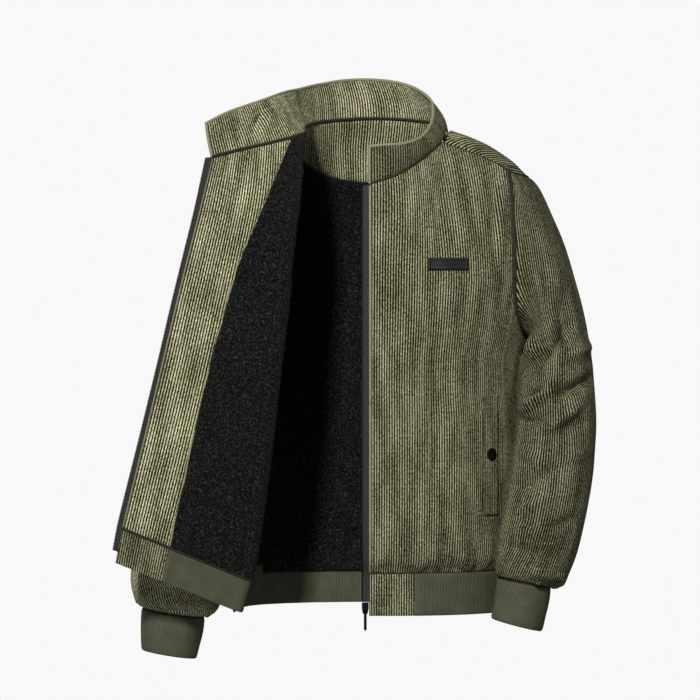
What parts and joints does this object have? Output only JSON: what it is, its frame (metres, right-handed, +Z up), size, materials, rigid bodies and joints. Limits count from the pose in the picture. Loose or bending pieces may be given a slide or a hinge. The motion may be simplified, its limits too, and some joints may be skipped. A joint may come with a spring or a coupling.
{
  "type": "corduroy zip jacket",
  "caption": "olive wide-wale corduroy zip jacket with a stand collar and black sherpa lining, filled out and empty, right front folded open",
  "frame": {"origin": "middle of the neck hole, where a wearer's neck or a hanger would hold the jacket", "axes": "+Z up along the neck, the front of the jacket faces -Y, the wearer's left side is +X"},
  "size_m": [0.6359, 0.2941, 0.7852],
  "materials": {
    "corduroy": "matte",
    "rib_knit": "matte",
    "sherpa": "matte",
    "woven_patch": "matte",
    "zip_tape": "matte",
    "black_metal": "satin"
  },
  "bodies": {
    "jacket": {"front_left": "corduroy", "back": "corduroy", "front_right": "corduroy", "collar_outer": "corduroy", "hem_band": "rib_knit", "hem_end_left": "corduroy", "hem_end_right": "corduroy", "sleeve_left": "corduroy", "sleeve_right": "corduroy", "cuff_left": "rib_knit", "cuff_right": "rib_knit", "collar_inner": "corduroy", "facing_left": "corduroy", "facing_right": "corduroy", "facing_back_neck": "corduroy", "lining_left": "sherpa", "lining_right": "sherpa", "lining_back": "sherpa", "pocket_welt_left": "corduroy", "pocket_welt_right": "corduroy", "chest_patch": "woven_patch", "press_stud_left": "black_metal", "press_stud_right": "black_metal", "zip_tape_left": "zip_tape", "zip_tape_right": "zip_tape", "zip_slider": "black_metal"},
    "pull": {"zip_pull": "black_metal"}
  },
  "joints": [
    {"name": "pull_hinge", "type": "hinge", "parent": "jacket", "child": "pull", "pos_m": [-0.01498, -0.13131, -0.62993], "axis": [-1, 0, 0], "range_deg": [-8, 160]}
  ]
}
